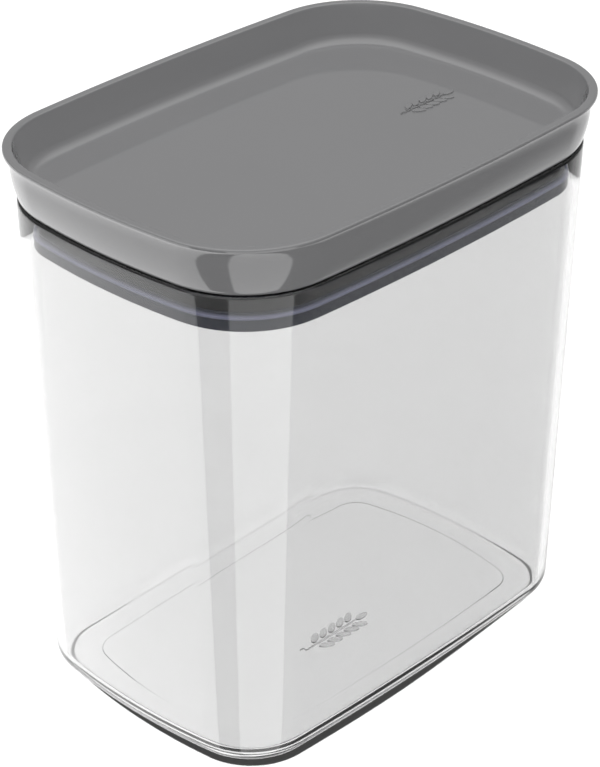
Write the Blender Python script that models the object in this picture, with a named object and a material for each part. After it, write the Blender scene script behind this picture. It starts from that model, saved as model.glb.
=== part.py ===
"""Rectangular storage container with a press-in lid.

Pieces: a clear one-piece container, a lid shell with a raised rim and a stacking tray, a plug that is fixed
under the shell and reaches into the mouth, and a silicone seal that sits in the plug's groove.
Metres, +Z up. The origin is the middle of the footprint, on the ground.
"""

import math

import bmesh
import bpy
from mathutils import Matrix, Vector

# Overall sizes, over the rim of the lid
LENGTH = 0.1618
WIDTH = 0.1128
HEIGHT = 0.1680

# Lid shell
LID_HEIGHT = 0.0146
LIP_OVERHANG = 0.0026
LIP_THICKNESS = 0.0011
LIP_FLARE_HEIGHT = 0.0042
LIP_LAND = 0.0026
LIP_EDGE = 0.0005
SKIRT_TOP_INSET = 0.0016
SKIRT_FOOT_SETBACK = 0.0005
SKIRT_EDGE = 0.0003
SHELL_WALL = 0.0018
TRAY_DEPTH = 0.0118
TRAY_SLOPE = 0.0020
TRAY_FILLET = 0.0034

# Plan outline: corner radii, and how far each side bows out between its corners
RIM_CORNER = 0.0309
MOUTH_CORNER = 0.0295
MOUTH_BOW_LONG = 0.0034
MOUTH_BOW_SHORT = 0.0062
BASE_CORNER = 0.0210
BASE_BOW_LONG = 0.0023
BASE_BOW_SHORT = 0.0055

# Container
BASE_INSET_LENGTH = 0.0048
BASE_INSET_WIDTH = 0.0058
GLASS_WALL = 0.0020
FLOOR = 0.0024
BASE_FILLET = 0.0060
FLOOR_FILLET = 0.0050
FOOT_WIDTH = 0.0066
FOOT_HEIGHT = 0.0008
FOOT_STEP = 0.0010

# Plug and its groove
PLUG_DEPTH = 0.0127
PLUG_CLEARANCE = 0.0013
PLUG_WALL = 0.0022
PLUG_PLATE = 0.0016
PLUG_EDGE = 0.0004
GROOVE_TOP = 0.0064
GROOVE_BOTTOM = 0.0119
GROOVE_DEPTH = 0.0017
FLANGE_SETBACK = 0.0011

# Seal
LIP_CENTRE = 0.0076
LIP_HALF_HEIGHT = 0.0003
SEAL_BODY_CLEARANCE = 0.0008
SEAL_NECK_CLEARANCE = 0.0014

# Clearance between pieces that touch
SEAT_GAP = 0.0003

# Distance under which two points are one
WELD = 0.000001

# Segments in one quarter of an outline: half a short side, the corner, half a long side
SHORT_SIDE_SEGMENTS = 3
CORNER_SEGMENTS = 9
LONG_SIDE_SEGMENTS = 4

# Segments in the rounded stretches of the profiles
BASE_FILLET_SEGMENTS = 5
RIM_SEGMENTS = 6
FLOOR_FILLET_SEGMENTS = 6
TRAY_FILLET_SEGMENTS = 5
CHANNEL_SEGMENTS = 3
FLARE_SEGMENTS = 4
SKIRT_SEGMENTS = 5

# Edges that turn more than this are shaded sharp
SHARP_ANGLE = math.radians(35)

# Heights and outlines that follow from the sizes above.
# An outline is half length, half width, corner radius, bow of the long sides, bow of the short sides.
SEAT_Z = HEIGHT - LID_HEIGHT
CONTAINER_TOP = SEAT_Z - SEAT_GAP
TRAY_FLOOR = HEIGHT - TRAY_DEPTH
TRAY_UNDERSIDE = TRAY_FLOOR - SHELL_WALL
MOUTH = (LENGTH / 2 - LIP_OVERHANG, WIDTH / 2 - LIP_OVERHANG, MOUTH_CORNER, MOUTH_BOW_LONG, MOUTH_BOW_SHORT)
BASE = (
    MOUTH[0] - BASE_INSET_LENGTH,
    MOUTH[1] - BASE_INSET_WIDTH,
    BASE_CORNER,
    BASE_BOW_LONG,
    BASE_BOW_SHORT,
)


def inset(outline, distance):
    """The outline moved inwards by a distance, or outwards by a negative one."""
    length, width, corner, bow_long, bow_short = outline
    return (length - distance, width - distance, corner - distance, bow_long, bow_short)


def wall_outline(z, distance):
    """The container's outer face at height z, moved inwards. The walls lean out from base to mouth."""
    share = z / SEAT_Z
    leaning = tuple(low + (high - low) * share for low, high in zip(BASE, MOUTH))
    return inset(leaning, distance)


def arc(centre, radius, start, end, segments):
    """Points on an arc, without its first point."""
    steps = range(1, segments + 1)
    angles = [start + (end - start) * step / segments for step in steps]
    return [centre + radius * Vector((math.cos(angle), math.sin(angle))) for angle in angles]


def quarter(outline):
    """One quarter of a bowed, round-cornered rectangle, from +X round to +Y, as tangent arcs."""
    length, width, corner, bow_long, bow_short = outline
    long_radius = (length**2 + bow_long**2) / (2 * bow_long)
    short_radius = (width**2 + bow_short**2) / (2 * bow_short)
    long_centre = Vector((0, width - long_radius))
    short_centre = Vector((length - short_radius, 0))
    # The corner's centre lies at (side radius - corner radius) from both side centres.
    to_long = long_radius - corner
    to_short = short_radius - corner
    apart = short_centre - long_centre
    along = (to_long**2 - to_short**2 + apart.length**2) / (2 * apart.length)
    across = math.sqrt(to_long**2 - along**2)
    direction = apart.normalized()
    corner_centre = long_centre + direction * along + Vector((direction.y, -direction.x)) * across
    from_short = corner_centre - short_centre
    from_long = corner_centre - long_centre
    first_turn = math.atan2(from_short.y, from_short.x)
    second_turn = math.atan2(from_long.y, from_long.x)
    points = [Vector((length, 0))]
    points += arc(short_centre, short_radius, 0, first_turn, SHORT_SIDE_SEGMENTS)
    points += arc(corner_centre, corner, first_turn, second_turn, CORNER_SEGMENTS)
    points += arc(long_centre, long_radius, second_turn, math.pi / 2, LONG_SIDE_SEGMENTS)
    return points


def ring(outline, z):
    """The whole outline at height z, counter-clockwise from +X."""
    first = quarter(outline)
    half = first + [Vector((-point.x, point.y)) for point in reversed(first[:-1])]
    whole = half + [Vector((point.x, -point.y)) for point in reversed(half[1:-1])]
    return [Vector((point.x, point.y, z)) for point in whole]


def lofted(name, rings, material, capped):
    """A solid skinned over rings in order: capped at both ends, or closed back onto its first ring."""
    shape = bmesh.new()
    verts = [shape.verts.new(point) for point in rings[0]]
    edges = [shape.edges.new((verts[i - 1], verts[i])) for i in range(len(verts))]
    ends = [edges]
    for here, there in zip(rings, rings[1:] if capped else rings[1:] + rings[:1]):
        made = bmesh.ops.extrude_edge_only(shape, edges=edges)["geom"]
        edges = [item for item in made if isinstance(item, bmesh.types.BMEdge)]
        moves = {tuple(vert.co): target for vert, target in zip(verts, there)}
        fresh = {tuple(item.co): item for item in made if isinstance(item, bmesh.types.BMVert)}
        verts = [fresh[tuple(vert.co)] for vert in verts]
        for vert in verts:
            vert.co = moves[tuple(vert.co)]
    ends.append(edges)
    if capped:
        for end in ends:
            bmesh.ops.contextual_create(shape, geom=end)
    else:
        bmesh.ops.remove_doubles(shape, verts=shape.verts, dist=WELD)
    bmesh.ops.recalc_face_normals(shape, faces=shape.faces)
    if shape.calc_volume(signed=True) < 0:
        bmesh.ops.reverse_faces(shape, faces=shape.faces)
    mesh = bpy.data.meshes.new(name)
    shape.to_mesh(mesh)
    shape.free()
    mesh.shade_smooth()
    mesh.set_sharp_from_angle(angle=SHARP_ANGLE)
    mesh.materials.append(material)
    part = bpy.data.objects.new(name, mesh)
    bpy.context.scene.collection.objects.link(part)
    return part


def finish(name, colour, roughness, transmission=0.0):
    material = bpy.data.materials.new(name)
    material.use_nodes = True
    shader = material.node_tree.nodes["Principled BSDF"]
    shader.inputs["Base Color"].default_value = (*colour, 1.0)
    shader.inputs["Roughness"].default_value = roughness
    shader.inputs["Metallic"].default_value = 0.0
    shader.inputs["Transmission Weight"].default_value = transmission
    return material


def fillet_profile(flat_inset, flat_z, radius, segments):
    """(inset, z) points of a concave-up fillet, from the flat at the bottom to the upright wall."""
    points = []
    for step in range(segments + 1):
        angle = math.pi / 2 * step / segments
        points.append((flat_inset - radius * math.sin(angle), flat_z + radius - radius * math.cos(angle)))
    return points


def container_body():
    """Clear container: foot ring, rounded base, leaning walls, rounded rim, filleted floor."""
    foot_inner = BASE_FILLET + FOOT_WIDTH
    outside = [(foot_inner + FOOT_STEP, FOOT_HEIGHT), (foot_inner, 0.0)]
    outside += fillet_profile(BASE_FILLET, 0.0, BASE_FILLET, BASE_FILLET_SEGMENTS)
    # The rim is a full round over the wall's thickness.
    rim_radius = GLASS_WALL / 2
    rim = []
    for step in range(RIM_SEGMENTS + 1):
        angle = math.pi * step / RIM_SEGMENTS
        rim_inset = rim_radius - rim_radius * math.cos(angle)
        rim.append((rim_inset, CONTAINER_TOP - rim_radius + rim_radius * math.sin(angle)))
    inside = fillet_profile(GLASS_WALL + FLOOR_FILLET, FLOOR, FLOOR_FILLET, FLOOR_FILLET_SEGMENTS)
    profile = outside + rim + inside[::-1]
    rings = [ring(wall_outline(z, distance), z) for distance, z in profile]
    return lofted("container_body", rings, finish("clear glass", (0.93, 0.95, 0.95), 0.03, 1.0), True)


def shell_outline(distance, rim_share):
    """The mouth's outline moved inwards, with its corners turned from the mouth's towards the rim's."""
    length, width, corner, bow_long, bow_short = MOUTH
    turned = corner + (RIM_CORNER - LIP_OVERHANG - corner) * rim_share
    return inset((length, width, turned, bow_long, bow_short), distance)


def lid_shell():
    """Grey lid: skirt that curves in to the container's rim, flared lip, tray sunk inside the rim."""
    flare_foot = HEIGHT - LIP_THICKNESS - LIP_FLARE_HEIGHT
    tray_wall_inset = LIP_LAND - LIP_OVERHANG + TRAY_SLOPE
    tray_floor_inset = tray_wall_inset + TRAY_FILLET
    skirt_top = SKIRT_TOP_INSET - LIP_OVERHANG
    skirt_inner = SKIRT_FOOT_SETBACK + SHELL_WALL
    # Underside: flat middle, then the channel behind the skirt, under the tray's fillet
    channel_radius = TRAY_FILLET + SHELL_WALL
    channel_turn = math.asin((tray_floor_inset - skirt_inner) / channel_radius)
    profile = []
    for step in range(CHANNEL_SEGMENTS + 1):
        angle = channel_turn * step / CHANNEL_SEGMENTS
        z = TRAY_FLOOR + TRAY_FILLET - channel_radius * math.cos(angle)
        profile.append((tray_floor_inset - channel_radius * math.sin(angle), z, 1.0))
    # Foot of the skirt, with its outer edge rounded off
    profile.append((skirt_inner, SEAT_Z, 0.0))
    profile.append((SKIRT_FOOT_SETBACK + SKIRT_EDGE, SEAT_Z, 0.0))
    # Skirt: it leaves the foot leaning out and comes upright below the lip
    skirt_height = flare_foot - SEAT_Z
    for step in range(SKIRT_SEGMENTS + 1):
        share = (SKIRT_EDGE + (skirt_height - SKIRT_EDGE) * step / SKIRT_SEGMENTS) / skirt_height
        distance = skirt_top + (SKIRT_FOOT_SETBACK - skirt_top) * (1 - share) ** 2
        profile.append((distance, SEAT_Z + skirt_height * share, share))
    # Flare under the lip: a quarter of an ellipse that ends level
    for step in range(1, FLARE_SEGMENTS + 1):
        angle = math.pi / 2 * step / FLARE_SEGMENTS
        reach = (SKIRT_TOP_INSET - LIP_EDGE) * (1 - math.cos(angle))
        profile.append((skirt_top - reach, flare_foot + LIP_FLARE_HEIGHT * math.sin(angle), 1.0))
    # Lip edge, land on top, and its inner edge
    profile.append((-LIP_OVERHANG, HEIGHT - LIP_THICKNESS + LIP_EDGE / 2, 1.0))
    profile.append((-LIP_OVERHANG, HEIGHT - LIP_EDGE, 1.0))
    profile.append((-LIP_OVERHANG + LIP_EDGE, HEIGHT, 1.0))
    profile.append((LIP_LAND - LIP_OVERHANG - LIP_EDGE, HEIGHT, 1.0))
    profile.append((LIP_LAND - LIP_OVERHANG, HEIGHT - LIP_EDGE, 1.0))
    # Tray wall and fillet down to the floor
    tray = fillet_profile(tray_floor_inset, TRAY_FLOOR, TRAY_FILLET, TRAY_FILLET_SEGMENTS)
    profile += [(distance, z, 1.0) for distance, z in reversed(tray)]
    rings = [ring(shell_outline(distance, rim_share), z) for distance, z, rim_share in profile]
    return lofted("lid_shell", rings, finish("grey lid plastic", (0.22, 0.22, 0.22), 0.3), True)


def lid_plug():
    """Dark plug: an open dish under the shell, with a groove for the seal above a narrower flange."""
    face = GLASS_WALL + PLUG_CLEARANCE
    flange = face + FLANGE_SETBACK
    groove = face + GROOVE_DEPTH
    bottom = SEAT_Z - PLUG_DEPTH
    top = TRAY_UNDERSIDE - SEAT_GAP
    groove_top = SEAT_Z - GROOVE_TOP
    groove_bottom = SEAT_Z - GROOVE_BOTTOM
    wall_inner = groove + PLUG_WALL
    profile = [
        (flange + PLUG_EDGE, bottom),
        (flange, bottom + PLUG_EDGE),
        (flange, groove_bottom),
        (groove, groove_bottom),
        (groove, groove_top),
        (face, groove_top),
        (face, top - PLUG_EDGE),
        (face + PLUG_EDGE, top),
        (wall_inner, top),
        (wall_inner, bottom + PLUG_PLATE),
    ]
    rings = [ring(wall_outline(z, distance), z) for distance, z in profile]
    return lofted("lid_plug", rings, finish("charcoal plug plastic", (0.04, 0.04, 0.042), 0.4), True)


def seal_gasket():
    """Silicone seal: a ring that fills the groove, with a lip all round that reaches for the wall."""
    groove_face = GLASS_WALL + PLUG_CLEARANCE + GROOVE_DEPTH - SEAT_GAP
    lip_face = GLASS_WALL + SEAT_GAP
    neck_face = GLASS_WALL + SEAL_NECK_CLEARANCE
    body_face = GLASS_WALL + SEAL_BODY_CLEARANCE
    top = SEAT_Z - GROOVE_TOP - SEAT_GAP
    bottom = SEAT_Z - GROOVE_BOTTOM + SEAT_GAP
    lip = SEAT_Z - LIP_CENTRE
    profile = [
        (groove_face, bottom),
        (groove_face, top),
        (neck_face, top),
        (neck_face, lip + 2 * LIP_HALF_HEIGHT),
        (lip_face, lip + LIP_HALF_HEIGHT),
        (lip_face, lip - LIP_HALF_HEIGHT),
        (body_face, lip - 2 * LIP_HALF_HEIGHT),
        (body_face, bottom),
    ]
    rings = [ring(wall_outline(z, distance), z) for distance, z in profile]
    return lofted("seal_gasket", rings, finish("blue-grey silicone", (0.18, 0.2, 0.26), 0.35), False)


for old in list(bpy.data.objects):
    bpy.data.objects.remove(old, do_unlink=True)

container_body()
lid_lift = bpy.data.objects.new("lid_lift", None)
lid_lift.location = (0, 0, SEAT_Z)
bpy.context.scene.collection.objects.link(lid_lift)
for piece in (lid_shell(), lid_plug(), seal_gasket()):
    piece.parent = lid_lift
    piece.matrix_parent_inverse = Matrix.Translation(lid_lift.location).inverted()
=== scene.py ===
import math

import bmesh
import bpy
from mathutils import Matrix, Vector


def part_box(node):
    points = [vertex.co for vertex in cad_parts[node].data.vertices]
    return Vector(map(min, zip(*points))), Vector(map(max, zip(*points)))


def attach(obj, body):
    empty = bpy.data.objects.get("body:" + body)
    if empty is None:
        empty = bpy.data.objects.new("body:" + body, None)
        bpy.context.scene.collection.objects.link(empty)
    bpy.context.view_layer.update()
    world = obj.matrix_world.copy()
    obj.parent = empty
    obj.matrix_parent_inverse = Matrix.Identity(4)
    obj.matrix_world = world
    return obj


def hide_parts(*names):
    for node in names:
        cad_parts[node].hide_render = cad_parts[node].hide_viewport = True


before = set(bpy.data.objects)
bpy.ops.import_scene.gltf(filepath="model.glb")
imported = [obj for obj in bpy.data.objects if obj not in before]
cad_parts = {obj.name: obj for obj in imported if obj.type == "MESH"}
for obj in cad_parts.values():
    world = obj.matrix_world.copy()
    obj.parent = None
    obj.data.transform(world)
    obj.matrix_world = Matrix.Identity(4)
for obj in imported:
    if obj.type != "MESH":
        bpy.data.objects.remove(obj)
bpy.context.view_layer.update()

# ---------------------------------------------------------------------------------------------------------
# Container: one piece of clear moulded glass. Four leaning, slightly bowed walls stand on a foot ring, the
# floor meets them in a fillet, and the rim is fire-polished to a full round.

CONTAINER_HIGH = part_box("container_body")[1]
SEAT_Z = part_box("lid_shell")[0].z

GLASS_WALL = 0.0020
GLASS_FLOOR = 0.0024
BASE_FILLET = 0.0060
FLOOR_FILLET = 0.0050
FOOT_WIDTH = 0.0066
# The recess inside the foot ring is shallow, so that its edge draws no dark line through the glass.
FOOT_HEIGHT = 0.0003
FOOT_STEP = 0.0002

# An outline is half length, half width, corner radius, bow of the long sides, bow of the short sides.
# The walls are straight lines from the base's outline on the ground to the mouth's at the lid's seat.
BASE_INSET_LENGTH = 0.0048
BASE_INSET_WIDTH = 0.0058
WIDEST_SHARE = (CONTAINER_HIGH.z - GLASS_WALL / 2) / SEAT_Z
BASE_HALF_LENGTH = CONTAINER_HIGH.x - BASE_INSET_LENGTH * WIDEST_SHARE
BASE_HALF_WIDTH = CONTAINER_HIGH.y - BASE_INSET_WIDTH * WIDEST_SHARE
BASE = (BASE_HALF_LENGTH, BASE_HALF_WIDTH, 0.0210, 0.0023, 0.0055)
MOUTH = (BASE[0] + BASE_INSET_LENGTH, BASE[1] + BASE_INSET_WIDTH, 0.0295, 0.0034, 0.0062)

# Segments in one quarter of an outline, and in the rounded stretches of a wall's section
SHORT_SIDE_SEGMENTS = 6
CORNER_SEGMENTS = 28
LONG_SIDE_SEGMENTS = 10
FILLET_SEGMENTS = 12
RIM_SEGMENTS = 12
WALL_SEGMENTS = 14

SHARP_ANGLE = math.radians(40)
EDGE_SEGMENTS = 3
WELD = 0.000001


def inset(outline, distance):
    """The outline moved inwards by a distance, or outwards by a negative one."""
    length, width, corner, bow_long, bow_short = outline
    return (length - distance, width - distance, corner - distance, bow_long, bow_short)


def wall_outline(z, distance):
    """The container's outer face at height z, moved inwards."""
    share = z / SEAT_Z
    leaning = tuple(low + (high - low) * share for low, high in zip(BASE, MOUTH))
    return inset(leaning, distance)


def arc(centre, radius, start, end, segments):
    """Points on an arc, without its first point."""
    steps = range(1, segments + 1)
    angles = [start + (end - start) * step / segments for step in steps]
    return [centre + radius * Vector((math.cos(angle), math.sin(angle))) for angle in angles]


def quarter(outline):
    """One quarter of a bowed, round-cornered rectangle, from +X round to +Y, as tangent arcs."""
    length, width, corner, bow_long, bow_short = outline
    long_radius = (length**2 + bow_long**2) / (2 * bow_long)
    short_radius = (width**2 + bow_short**2) / (2 * bow_short)
    long_centre = Vector((0, width - long_radius))
    short_centre = Vector((length - short_radius, 0))
    # The corner's centre lies at (side radius - corner radius) from both side centres.
    to_long = long_radius - corner
    to_short = short_radius - corner
    apart = short_centre - long_centre
    along = (to_long**2 - to_short**2 + apart.length**2) / (2 * apart.length)
    across = math.sqrt(to_long**2 - along**2)
    direction = apart.normalized()
    corner_centre = long_centre + direction * along + Vector((direction.y, -direction.x)) * across
    from_short = corner_centre - short_centre
    from_long = corner_centre - long_centre
    first_turn = math.atan2(from_short.y, from_short.x)
    second_turn = math.atan2(from_long.y, from_long.x)
    points = [Vector((length, 0))]
    points += arc(short_centre, short_radius, 0, first_turn, SHORT_SIDE_SEGMENTS)
    points += arc(corner_centre, corner, first_turn, second_turn, CORNER_SEGMENTS)
    points += arc(long_centre, long_radius, second_turn, math.pi / 2, LONG_SIDE_SEGMENTS)
    return points


def ring(outline, z):
    """The whole outline at height z, counter-clockwise from +X."""
    first = quarter(outline)
    half = first + [Vector((-point.x, point.y)) for point in reversed(first[:-1])]
    whole = half + [Vector((point.x, -point.y)) for point in reversed(half[1:-1])]
    return [Vector((point.x, point.y, z)) for point in whole]


def skinned(name, rings, capped, edge_radius=0.0):
    """A solid drawn ring by ring: capped at both ends, or closed back onto its first ring."""
    shape = bmesh.new()
    verts = [shape.verts.new(point) for point in rings[0]]
    edges = [shape.edges.new((verts[i - 1], verts[i])) for i in range(len(verts))]
    ends = [edges]
    for there in rings[1:] if capped else rings[1:] + rings[:1]:
        made = bmesh.ops.extrude_edge_only(shape, edges=edges)["geom"]
        edges = [item for item in made if isinstance(item, bmesh.types.BMEdge)]
        moves = {tuple(vert.co): target for vert, target in zip(verts, there)}
        fresh = {tuple(item.co): item for item in made if isinstance(item, bmesh.types.BMVert)}
        verts = [fresh[tuple(vert.co)] for vert in verts]
        for vert in verts:
            vert.co = moves[tuple(vert.co)]
    ends.append(edges)
    if capped:
        for end in ends:
            bmesh.ops.contextual_create(shape, geom=end)
    else:
        bmesh.ops.remove_doubles(shape, verts=shape.verts, dist=WELD)
    bmesh.ops.recalc_face_normals(shape, faces=shape.faces)
    if shape.calc_volume(signed=True) < 0:
        bmesh.ops.reverse_faces(shape, faces=shape.faces)
    if edge_radius:
        sharp = [edge for edge in shape.edges if edge.calc_face_angle(0.0) > SHARP_ANGLE]
        bmesh.ops.bevel(
            shape,
            geom=sharp,
            offset=edge_radius,
            segments=EDGE_SEGMENTS,
            profile=0.5,
            affect="EDGES",
            material=-1,
        )
    # All is shaded smooth but the flat caps, the only faces with more than four corners.
    for face in shape.faces:
        face.smooth = len(face.verts) <= 4
    mesh = bpy.data.meshes.new(name)
    shape.to_mesh(mesh)
    shape.free()
    mesh.set_sharp_from_angle(angle=SHARP_ANGLE)
    piece = bpy.data.objects.new(name, mesh)
    bpy.context.scene.collection.objects.link(piece)
    return piece


def fillet(flat_inset, flat_z, radius, segments=FILLET_SEGMENTS):
    """(inset, z) points of a concave-up fillet, from the flat at the bottom to the upright wall."""
    points = []
    for step in range(segments + 1):
        angle = math.pi / 2 * step / segments
        points.append((flat_inset - radius * math.sin(angle), flat_z + radius - radius * math.cos(angle)))
    return points


def between(start, end, segments):
    """(inset, z) points on the straight line between two points, without the two."""
    shares = [step / segments for step in range(1, segments)]
    return [tuple(a + (b - a) * share for a, b in zip(start, end)) for share in shares]


def colour(code):
    """An sRGB hex colour as linear red, green, blue and alpha."""
    values = [int(code[i : i + 2], 16) / 255 for i in (1, 3, 5)]
    linear = [value / 12.92 if value <= 0.04045 else ((value + 0.055) / 1.055) ** 2.4 for value in values]
    return (*linear, 1.0)


# A colour mix's inputs and output go by number, because its names repeat. A noise keeps mostly within
# these two values.
SHARE, FIRST, SECOND = 0, 6, 7
MIXED = 2
NOISE_LOW, NOISE_HIGH = 0.3, 0.7


def add(owner, kind, settings=None, links=None, output=0):
    """An output of a new node of that kind, with its settings, and its inputs linked or set."""
    tree = owner.node_tree
    node = tree.nodes.new(kind)
    for name, value in (settings or {}).items():
        setattr(node, name, value)
    for name, value in (links or {}).items():
        if isinstance(value, bpy.types.NodeSocket):
            tree.links.new(value, node.inputs[name])
        else:
            node.inputs[name].default_value = value
    return node.outputs[output]


def shaded(name, values, pattern):
    """A Principled material with constant values, and a function that makes its patterned inputs."""
    material = bpy.data.materials.new(name)
    material.use_nodes = True
    shader = material.node_tree.nodes["Principled BSDF"]
    for socket, value in values.items():
        shader.inputs[socket].default_value = value
    place = add(material, "ShaderNodeTexCoord", output="Object")
    for socket, value in pattern(material, place).items():
        material.node_tree.links.new(value, shader.inputs[socket])
    return material


foot_inner = BASE_FILLET + FOOT_WIDTH
outside = [(foot_inner + FOOT_STEP, FOOT_HEIGHT), (foot_inner, 0.0)]
outside += fillet(BASE_FILLET, 0.0, BASE_FILLET)
rim_radius = GLASS_WALL / 2
rim = []
for step in range(RIM_SEGMENTS + 1):
    angle = math.pi * step / RIM_SEGMENTS
    rim_inset = rim_radius - rim_radius * math.cos(angle)
    rim.append((rim_inset, CONTAINER_HIGH.z - rim_radius + rim_radius * math.sin(angle)))
inside = fillet(GLASS_WALL + FLOOR_FILLET, GLASS_FLOOR, FLOOR_FILLET)[::-1]
section = outside + between(outside[-1], rim[0], WALL_SEGMENTS) + rim
section += between(rim[-1], inside[0], WALL_SEGMENTS) + inside
container = skinned("container", [ring(wall_outline(z, distance), z) for distance, z in section], True)


# Clear borosilicate glass, moulded: water-white, with a faint ripple left by the mould and a haze of wear.
RIPPLE_PITCH = 0.0357
HAZE_PITCH = 0.0111


def moulded_glass(material, place):
    ripple = add(
        material, "ShaderNodeTexNoise", links={"Vector": place, "Scale": 1 / RIPPLE_PITCH, "Detail": 1.0}
    )
    bump = add(material, "ShaderNodeBump", links={"Height": ripple, "Strength": 0.05, "Distance": 0.0004})
    haze = add(
        material, "ShaderNodeTexNoise", links={"Vector": place, "Scale": 1 / HAZE_PITCH, "Detail": 3.0}
    )
    rough = add(
        material,
        "ShaderNodeMapRange",
        links={"Value": haze, "From Min": NOISE_LOW, "From Max": NOISE_HIGH, "To Min": 0.0, "To Max": 0.008},
    )
    return {"Normal": bump, "Roughness": rough}


clear_glass = shaded(
    "clear borosilicate glass, moulded",
    {"Base Color": colour("#e2e2e2"), "IOR": 1.43, "Transmission Weight": 1.0},
    moulded_glass,
)
container.data.materials.append(clear_glass)
# The light that falls on the table and the lid comes straight through the walls.
container.visible_diffuse = False
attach(container, "container")
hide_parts("container_body")

# A mark in low relief on the container's floor and on the lid's tray: an ear of grain. The sizes of its
# stem and seeds are those of an ear of this length, and grow with it.
EAR_LENGTH = 0.0210
STEM_WIDTH = 0.0004
SEED_LENGTH = 0.0032
SEED_WIDTH = 0.0014
SEED_PITCH = 0.0024
SEED_PAIRS = 5
SEED_TURN = math.radians(32)
SEED_OFF_STEM = 0.0016
FIRST_PAIR_OFF_TIP = 0.00384
SEED_SEGMENTS = 28
RELIEF = 0.0004
RELIEF_EDGE = 0.0001


def ear_of_grain(name, centre, ground, length):
    """A stem along X with pairs of seeds towards its tip, raised from the ground it stands on."""
    size = length / EAR_LENGTH
    tip = EAR_LENGTH / 2
    ovals = [(0.0, 0.0, 0.0, EAR_LENGTH - 2 * SEED_LENGTH, STEM_WIDTH)]
    ovals.append((tip - SEED_LENGTH / 2, 0.0, 0.0, SEED_LENGTH, SEED_WIDTH))
    for pair in range(SEED_PAIRS):
        for side in (-1, 1):
            along = tip - FIRST_PAIR_OFF_TIP - SEED_PITCH * pair
            ovals.append((along, side * SEED_OFF_STEM, side * SEED_TURN, SEED_LENGTH, SEED_WIDTH))
    shape = bmesh.new()
    for along, across, turn, long_axis, short_axis in ovals:
        made = bmesh.ops.create_circle(shape, cap_ends=True, segments=SEED_SEGMENTS, radius=0.5)["verts"]
        bmesh.ops.scale(shape, verts=made, vec=(long_axis * size, short_axis * size, 1.0))
        bmesh.ops.rotate(shape, verts=made, cent=(0, 0, 0), matrix=Matrix.Rotation(turn, 3, "Z"))
        spot = (centre.x + along * size, centre.y + across * size, ground)
        bmesh.ops.translate(shape, verts=made, vec=spot)
    raised = bmesh.ops.extrude_face_region(shape, geom=shape.faces[:], use_keep_orig=True)["geom"]
    tops = [item for item in raised if isinstance(item, bmesh.types.BMVert)]
    bmesh.ops.translate(shape, verts=tops, vec=(0, 0, RELIEF))
    rims = [item for item in raised if isinstance(item, bmesh.types.BMEdge)]
    bmesh.ops.recalc_face_normals(shape, faces=shape.faces)
    bmesh.ops.bevel(
        shape, geom=rims, offset=RELIEF_EDGE, segments=2, profile=0.5, affect="EDGES", material=-1
    )
    mesh = bpy.data.meshes.new(name)
    shape.to_mesh(mesh)
    shape.free()
    mark = bpy.data.objects.new(name, mesh)
    bpy.context.scene.collection.objects.link(mark)
    return mark


CONTAINER_MARK_CENTRE = Vector((-0.0058, -0.0146))
CONTAINER_MARK_LENGTH = 0.0320
CONTAINER_MARK_LIFT = 0.00002
container_mark = ear_of_grain(
    "container_mark", CONTAINER_MARK_CENTRE, GLASS_FLOOR + CONTAINER_MARK_LIFT, CONTAINER_MARK_LENGTH
)
container_mark.data.materials.append(clear_glass)
container_mark.visible_diffuse = False
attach(container_mark, "container")

# ---------------------------------------------------------------------------------------------------------
# Lid shell: one grey injection-moulded piece. Its skirt curves in to stand on the glass rim, its lip flares
# out at the top, and the flat inside the rim is a tray for the foot of another container.

SHELL_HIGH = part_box("lid_shell")[1]
LIP_OVERHANG = SHELL_HIGH.x - MOUTH[0]
LIP_THICKNESS = 0.0011
LIP_FLARE_HEIGHT = 0.0042
LIP_LAND = 0.0026
LIP_EDGE = 0.0005
LIP_EDGE_SEGMENTS = 6
RIM_CORNER = 0.0309
SKIRT_TOP_INSET = 0.0016
SKIRT_FOOT_SETBACK = 0.0005
SKIRT_EDGE = 0.0003
SKIRT_EDGE_SEGMENTS = 4
SKIRT_SEGMENTS = 10
SHELL_WALL = 0.0018
TRAY_DEPTH = 0.0118
TRAY_SLOPE = 0.0020
TRAY_FILLET = 0.0034


def shell_outline(distance, rim_share):
    """The mouth's outline moved inwards, with its corners turned from the mouth's towards the rim's."""
    length, width, corner, bow_long, bow_short = MOUTH
    turned = corner + (RIM_CORNER - LIP_OVERHANG - corner) * rim_share
    return inset((length, width, turned, bow_long, bow_short), distance)


tray_floor = SHELL_HIGH.z - TRAY_DEPTH
tray_floor_inset = LIP_LAND - LIP_OVERHANG + TRAY_SLOPE + TRAY_FILLET
flare_foot = SHELL_HIGH.z - LIP_THICKNESS - LIP_FLARE_HEIGHT
skirt_top = SKIRT_TOP_INSET - LIP_OVERHANG
skirt_inner = SKIRT_FOOT_SETBACK + SHELL_WALL
skirt_height = flare_foot - SEAT_Z
channel_radius = TRAY_FILLET + SHELL_WALL
channel_turn = math.asin((tray_floor_inset - skirt_inner) / channel_radius)

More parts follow.
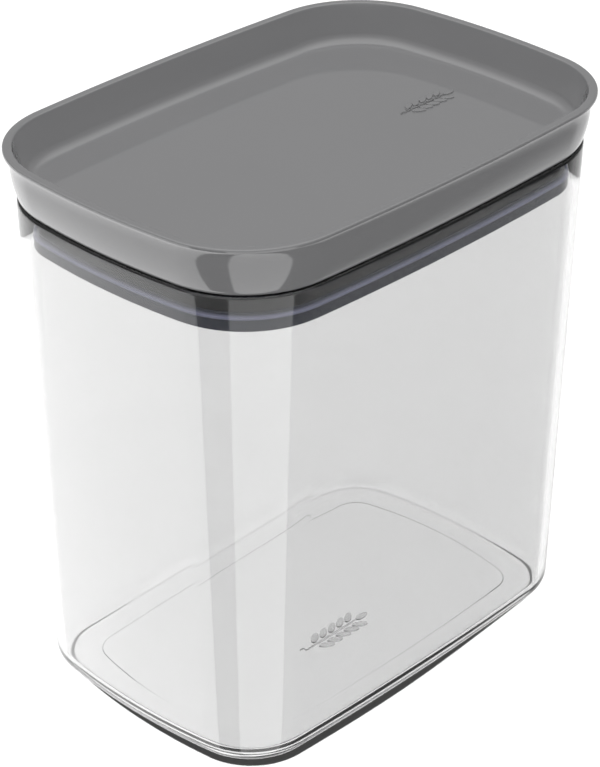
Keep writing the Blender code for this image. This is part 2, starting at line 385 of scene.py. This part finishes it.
# The section's points are (inset, z, share of the way from the mouth's corners to the rim's).
section = []
for step in range(FILLET_SEGMENTS + 1):
    angle = channel_turn * step / FILLET_SEGMENTS
    z = tray_floor + TRAY_FILLET - channel_radius * math.cos(angle)
    section.append((tray_floor_inset - channel_radius * math.sin(angle), z, 1.0))
section.append((skirt_inner, SEAT_Z, 0.0))
skirt_edge = fillet(SKIRT_FOOT_SETBACK + SKIRT_EDGE, SEAT_Z, SKIRT_EDGE, SKIRT_EDGE_SEGMENTS)
for distance, z in skirt_edge[:-1]:
    section.append((distance, z, 0.0))
for step in range(SKIRT_SEGMENTS + 1):
    share = (SKIRT_EDGE + (skirt_height - SKIRT_EDGE) * step / SKIRT_SEGMENTS) / skirt_height
    distance = skirt_top + (SKIRT_FOOT_SETBACK - skirt_top) * (1 - share) ** 2
    section.append((distance, SEAT_Z + skirt_height * share, share))
for step in range(1, FILLET_SEGMENTS + 1):
    angle = math.pi / 2 * step / FILLET_SEGMENTS
    reach = (SKIRT_TOP_INSET - LIP_EDGE) * (1 - math.cos(angle))
    section.append((skirt_top - reach, flare_foot + LIP_FLARE_HEIGHT * math.sin(angle), 1.0))
lip_edge = fillet(0.0, 0.0, LIP_EDGE, LIP_EDGE_SEGMENTS)
section.append((-LIP_OVERHANG, SHELL_HIGH.z - LIP_THICKNESS + LIP_EDGE / 2, 1.0))
for distance, z in reversed(lip_edge):
    section.append((-LIP_OVERHANG + LIP_EDGE + distance, SHELL_HIGH.z - z, 1.0))
for distance, z in lip_edge:
    section.append((LIP_LAND - LIP_OVERHANG - LIP_EDGE - distance, SHELL_HIGH.z - z, 1.0))
for distance, z in reversed(fillet(tray_floor_inset, tray_floor, TRAY_FILLET)):
    section.append((distance, z, 1.0))
shell_rings = [ring(shell_outline(distance, rim_share), z) for distance, z, rim_share in section]
lid_moulding = skinned("lid_moulding", shell_rings, True)


# Grey polypropylene, injection moulded in a fine-sparked tool: an even grey with a soft gloss. Its grain,
# really about a tenth of a millimetre, is drawn as coarse as it needs to show.
SPARK_GRAIN = 0.000714
GREY_FLOW = 0.0455


def moulded_grey(material, place):
    grain = add(
        material, "ShaderNodeTexNoise", links={"Vector": place, "Scale": 1 / SPARK_GRAIN, "Detail": 2.0}
    )
    bump = add(material, "ShaderNodeBump", links={"Height": grain, "Strength": 0.06, "Distance": 0.00002})
    flow = add(
        material, "ShaderNodeTexNoise", links={"Vector": place, "Scale": 1 / GREY_FLOW, "Detail": 4.0}
    )
    tone = add(
        material,
        "ShaderNodeMix",
        {"data_type": "RGBA"},
        {SHARE: flow, FIRST: colour("#69696a"), SECOND: colour("#6c6c6d")},
        output=MIXED,
    )
    rough = add(
        material,
        "ShaderNodeMapRange",
        links={"Value": flow, "From Min": NOISE_LOW, "From Max": NOISE_HIGH, "To Min": 0.05, "To Max": 0.08},
    )
    return {"Normal": bump, "Roughness": rough, "Base Color": tone}


grey_plastic = shaded("grey polypropylene, fine-sparked mould", {"IOR": 1.5}, moulded_grey)
lid_moulding.data.materials.append(grey_plastic)
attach(lid_moulding, "lid")
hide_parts("lid_shell")

LID_MARK_CENTRE = Vector((0.0459, -0.0025))
LID_MARK_LENGTH = 0.0270
lid_mark = ear_of_grain("lid_mark", LID_MARK_CENTRE, tray_floor, LID_MARK_LENGTH)
lid_mark.data.materials.append(grey_plastic)
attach(lid_mark, "lid")

# ---------------------------------------------------------------------------------------------------------
# Plug: a charcoal moulded dish fixed under the shell. It reaches down into the mouth, and a groove round
# its outside holds the seal.

PLUG_DEPTH = 0.0127
PLUG_CLEARANCE = 0.0013
PLUG_WALL = 0.0022
PLUG_PLATE = 0.0016
PLUG_EDGE = 0.0004
GROOVE_TOP = 0.0064
GROOVE_BOTTOM = 0.0119
GROOVE_DEPTH = 0.0017
FLANGE_SETBACK = 0.0011
EDGE_RADIUS = 0.00025

plug_face = GLASS_WALL + PLUG_CLEARANCE
plug_flange = plug_face + FLANGE_SETBACK
plug_groove = plug_face + GROOVE_DEPTH
plug_bottom = SEAT_Z - PLUG_DEPTH
plug_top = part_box("lid_plug")[1].z
plug_inner = plug_groove + PLUG_WALL
section = [
    (plug_flange + PLUG_EDGE, plug_bottom),
    (plug_flange, plug_bottom + PLUG_EDGE),
    (plug_flange, SEAT_Z - GROOVE_BOTTOM),
    (plug_groove, SEAT_Z - GROOVE_BOTTOM),
    (plug_groove, SEAT_Z - GROOVE_TOP),
    (plug_face, SEAT_Z - GROOVE_TOP),
    (plug_face, plug_top - PLUG_EDGE),
    (plug_face + PLUG_EDGE, plug_top),
    (plug_inner, plug_top),
    (plug_inner, plug_bottom + PLUG_PLATE),
]
plug = skinned("plug", [ring(wall_outline(z, distance), z) for distance, z in section], True, EDGE_RADIUS)


# Charcoal polypropylene, injection moulded in an etched tool: matt, and set nearly black. The tone is partly
# the plastic's own charcoal and partly painted shade, for the shade inside the lid that the lid and plug do
# not cast on it. Its grain too is drawn as coarse as it needs to show.
ETCHED_GRAIN = 0.000833
CHARCOAL_FLOW = 0.0333


def charcoal_and_painted_shade(material, place):
    grain = add(
        material, "ShaderNodeTexNoise", links={"Vector": place, "Scale": 1 / ETCHED_GRAIN, "Detail": 2.0}
    )
    bump = add(material, "ShaderNodeBump", links={"Height": grain, "Strength": 0.05, "Distance": 0.00002})
    flow = add(
        material, "ShaderNodeTexNoise", links={"Vector": place, "Scale": 1 / CHARCOAL_FLOW, "Detail": 4.0}
    )
    # Painted shade: both tones are darker than the plastic's own charcoal, for the shade inside the lid.
    tone = add(
        material,
        "ShaderNodeMix",
        {"data_type": "RGBA"},
        {SHARE: flow, FIRST: colour("#0d0d0e"), SECOND: colour("#111112")},
        output=MIXED,
    )
    rough = add(
        material,
        "ShaderNodeMapRange",
        links={"Value": flow, "From Min": NOISE_LOW, "From Max": NOISE_HIGH, "To Min": 0.45, "To Max": 0.55},
    )
    return {"Normal": bump, "Roughness": rough, "Base Color": tone}


charcoal_plastic_and_painted_shade = shaded(
    "charcoal polypropylene, etched mould", {"IOR": 1.49, "Specular IOR Level": 0.08}, charcoal_and_painted_shade
)
plug.data.materials.append(charcoal_plastic_and_painted_shade)
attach(plug, "lid")
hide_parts("lid_plug")
# The lid casts no shadow on the table under the container, which stays evenly lit.
lid_moulding.visible_diffuse = False
plug.visible_diffuse = False

# ---------------------------------------------------------------------------------------------------------
# Seal: a moulded silicone ring stretched into the plug's groove. A thin lip stands out from it all round
# and wipes the glass.

LIP_CENTRE = 0.0076
LIP_HALF_HEIGHT = 0.0003
SEAL_BODY_CLEARANCE = 0.0008
SEAL_NECK_CLEARANCE = 0.0014
SEAT_GAP = SEAT_Z - CONTAINER_HIGH.z
SEAL_EDGE_RADIUS = 0.00015

groove_face = plug_groove - SEAT_GAP
lip_face = GLASS_WALL + SEAT_GAP
neck_face = GLASS_WALL + SEAL_NECK_CLEARANCE
body_face = GLASS_WALL + SEAL_BODY_CLEARANCE
seal_top = SEAT_Z - GROOVE_TOP - SEAT_GAP
seal_bottom = SEAT_Z - GROOVE_BOTTOM + SEAT_GAP
lip_z = SEAT_Z - LIP_CENTRE
section = [
    (groove_face, seal_bottom),
    (groove_face, seal_top),
    (neck_face, seal_top),
    (neck_face, lip_z + 2 * LIP_HALF_HEIGHT),
    (lip_face, lip_z + LIP_HALF_HEIGHT),
    (lip_face, lip_z - LIP_HALF_HEIGHT),
    (body_face, lip_z - 2 * LIP_HALF_HEIGHT),
    (body_face, seal_bottom),
]
seal = skinned(
    "seal", [ring(wall_outline(z, distance), z) for distance, z in section], False, SEAL_EDGE_RADIUS
)


# Blue-grey silicone rubber, moulded: matt and dark blue-grey. A band round the lip is painted paler, as
# painted light for the light that the lip's thin edge lets in.
SILICONE_BLOOM = 0.0167


def silicone_and_painted_lip_light(material, place):
    bloom = add(
        material, "ShaderNodeTexNoise", links={"Vector": place, "Scale": 1 / SILICONE_BLOOM, "Detail": 4.0}
    )
    height = add(material, "ShaderNodeSeparateXYZ", links={"Vector": place}).node.outputs["Z"]
    from_lip = add(material, "ShaderNodeMath", {"operation": "SUBTRACT"}, {0: height, 1: lip_z})
    off_lip = add(material, "ShaderNodeMath", {"operation": "ABSOLUTE"}, {0: from_lip})
    # Painted light: a band round the lip is mixed towards a pale colour, for the light its thin edge lets
    # in.
    painted_lip_light = add(
        material,
        "ShaderNodeMapRange",
        links={"Value": off_lip, "From Min": 2 * LIP_HALF_HEIGHT, "From Max": LIP_HALF_HEIGHT},
    )
    thick_tone = add(
        material,
        "ShaderNodeMix",
        {"data_type": "RGBA"},
        {SHARE: bloom, FIRST: colour("#1e222d"), SECOND: colour("#232733")},
        output=MIXED,
    )
    tone = add(
        material,
        "ShaderNodeMix",
        {"data_type": "RGBA"},
        {SHARE: painted_lip_light, FIRST: thick_tone, SECOND: colour("#65667a")},
        output=MIXED,
    )
    rough = add(
        material,
        "ShaderNodeMapRange",
        links={"Value": bloom, "From Min": NOISE_LOW, "From Max": NOISE_HIGH, "To Min": 0.4, "To Max": 0.52},
    )
    return {"Roughness": rough, "Base Color": tone}


blue_silicone = shaded(
    "blue-grey silicone rubber, moulded", {"IOR": 1.41, "Specular IOR Level": 0.12}, silicone_and_painted_lip_light
)
seal.data.materials.append(blue_silicone)
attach(seal, "lid")
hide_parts("seal_gasket")

# ---------------------------------------------------------------------------------------------------------
# Studio: a matt pale table under a soft overhead light. Bright cards stand round the container, below the
# horizon, for its upright faces to mirror, and a thin dark card deepens the shade under the base.

FLOOR_SIZE = 8.0
FLOOR_DROP = 0.00005
floor_shape = bmesh.new()
bmesh.ops.create_grid(floor_shape, x_segments=1, y_segments=1, size=FLOOR_SIZE / 2)
bmesh.ops.translate(floor_shape, verts=floor_shape.verts, vec=(0, 0, -FLOOR_DROP))
floor_mesh = bpy.data.meshes.new("floor")
floor_shape.to_mesh(floor_mesh)
floor_shape.free()
floor = bpy.data.objects.new("floor", floor_mesh)
bpy.context.scene.collection.objects.link(floor)


# Matt pale laminate: an even off-white, with the faintest mottle.
LAMINATE_MOTTLE = 0.025


def laminate(material, place):
    mottle = add(
        material, "ShaderNodeTexNoise", links={"Vector": place, "Scale": 1 / LAMINATE_MOTTLE, "Detail": 2.0}
    )
    tone = add(
        material,
        "ShaderNodeMix",
        {"data_type": "RGBA"},
        {SHARE: mottle, FIRST: colour("#eaeaea"), SECOND: colour("#ededed")},
        output=MIXED,
    )
    return {"Base Color": tone}


pale_laminate = shaded("matt pale laminate", {"Roughness": 0.9, "Specular IOR Level": 0.0}, laminate)
floor.data.materials.append(pale_laminate)
# Gloss mirrors the cards, and never the table.
floor.visible_glossy = False

# The dark line where the base meets the table: a thin card under the base's fillet, wide at the front
# corner and running out towards the back, that only stops light on its way to the table.
SHADE_FRONT = Vector((-0.5, -0.87))
SHADE_INNER = 0.0046
SHADE_OUTER = 0.0006
SHADE_LOW = 0.00005
SHADE_HIGH = 0.00025
# The card's width, as a share of its widest: at the sides, added towards the front, and at the back
SIDE_WIDTH = 0.3
FRONT_WIDTH = 0.7
BACK_WIDTH = 0.02


def crescent(z):
    """The card's outer edge at height z: well out at the front, and hard by its inner edge at the back."""
    edge = []
    for inner, outer in zip(ring(inset(BASE, SHADE_INNER), z), ring(inset(BASE, SHADE_OUTER), z)):
        share = SIDE_WIDTH + FRONT_WIDTH * inner.xy.normalized().dot(SHADE_FRONT)
        edge.append(inner.lerp(outer, max(BACK_WIDTH, share)))
    return edge


inner_edge = [ring(inset(BASE, SHADE_INNER), z) for z in (SHADE_LOW, SHADE_HIGH)]
shade = skinned("shade", [inner_edge[0], crescent(SHADE_LOW), crescent(SHADE_HIGH), inner_edge[1]], False)
shade.data.materials.append(shaded("black card", {"Base Color": colour("#101010")}, lambda *_: {}))
shade.visible_camera = False
shade.visible_glossy = False
shade.visible_transmission = False

world = bpy.data.worlds.new("studio")
bpy.context.scene.world = world
world.use_nodes = True
sky = world.node_tree.nodes["Background"]
sky.inputs["Strength"].default_value = 1.0
world.cycles.sampling_method = "NONE"

direction = add(world, "ShaderNodeTexCoord")
axes = add(world, "ShaderNodeSeparateXYZ", links={"Vector": direction}).node.outputs
turn = add(world, "ShaderNodeMath", {"operation": "ARCTAN2"}, {0: axes["Y"], 1: axes["X"]})
compass = add(world, "ShaderNodeMapRange", links={"Value": turn, "From Min": -math.pi, "From Max": math.pi})


def ring_of_light(bands):
    """Brightness by compass angle from +X, in degrees, as a ramp all round."""
    ramp = add(world, "ShaderNodeValToRGB", links={"Fac": compass})
    elements = ramp.node.color_ramp.elements
    for index, (angle, value) in enumerate(bands):
        place = (angle + 180) / 360
        item = elements[index] if index < 2 else elements.new(place)
        item.position = place
        item.color = (value, value, value, 1.0)
    return ramp


# Below the horizon stands what the upright faces mirror: a bright card off the front corner, another off
# the short side and a dimmer one off the long side's far end, with dark gaps between them.
BRIGHT_CARD = 2.6
DIM_CARD = 1.3
CORNER_GAP = 0.09
LONG_SIDE_GAP = 0.12
cards = ring_of_light(
    [(-180, CORNER_GAP), (-154, CORNER_GAP), (-152, BRIGHT_CARD), (-87, BRIGHT_CARD)]
    + [(-85, LONG_SIDE_GAP), (-34, LONG_SIDE_GAP), (-14, DIM_CARD), (60, DIM_CARD)]
    + [(100, BRIGHT_CARD), (171, BRIGHT_CARD), (173, CORNER_GAP)]
)
# Above it is the soft light from overhead, which fades towards the horizon.
OVERHEAD = (2.4, 2.4, 2.4, 1.0)
FADE_LOW, FADE_HIGH = 0.5, 0.9
horizon = ring_of_light([(-180, 0.8), (-120, 0.6), (-60, 0.4), (0, 0.4), (60, 0.5), (120, 0.6)])
upper = add(
    world,
    "ShaderNodeMapRange",
    links={"Value": axes["Z"], "From Min": FADE_LOW, "From Max": FADE_HIGH},
)
dome = add(
    world,
    "ShaderNodeMix",
    {"data_type": "RGBA"},
    {SHARE: upper, FIRST: horizon, SECOND: OVERHEAD},
    output=MIXED,
)
above = add(world, "ShaderNodeMath", {"operation": "GREATER_THAN"}, {0: axes["Z"], 1: 0.0})
whole = add(
    world,
    "ShaderNodeMix",
    {"data_type": "RGBA"},
    {SHARE: above, FIRST: cards, SECOND: dome},
    output=MIXED,
)
world.node_tree.links.new(whole, sky.inputs["Color"])

bpy.context.scene.view_settings.view_transform = "Standard"

# Camera: a long lens, above the front corner, looking down.
CAMERA_AZIMUTH = math.radians(-46.58)
CAMERA_ELEVATION = math.radians(30.15)
CAMERA_DISTANCE = 0.7664
CAMERA_TARGET_SHARE = 0.4897
CAMERA_TARGET = Vector((0, 0, CAMERA_TARGET_SHARE * SHELL_HIGH.z))
FOCAL_LENGTH = 123.3
SHIFT_X = -0.0085
SHIFT_Y = -0.0022
NEAR_CLIP = 0.01

camera_data = bpy.data.cameras.new("camera")
camera_data.lens = FOCAL_LENGTH
camera_data.shift_x = SHIFT_X
camera_data.shift_y = SHIFT_Y
camera_data.clip_start = NEAR_CLIP
camera = bpy.data.objects.new("camera", camera_data)
back = Vector(
    (
        math.sin(CAMERA_AZIMUTH) * math.cos(CAMERA_ELEVATION),
        -math.cos(CAMERA_AZIMUTH) * math.cos(CAMERA_ELEVATION),
        math.sin(CAMERA_ELEVATION),
    )
)
camera.location = CAMERA_TARGET + back * CAMERA_DISTANCE
camera.rotation_euler = back.to_track_quat("Z", "Y").to_euler()
bpy.context.scene.collection.objects.link(camera)
bpy.context.scene.camera = camera
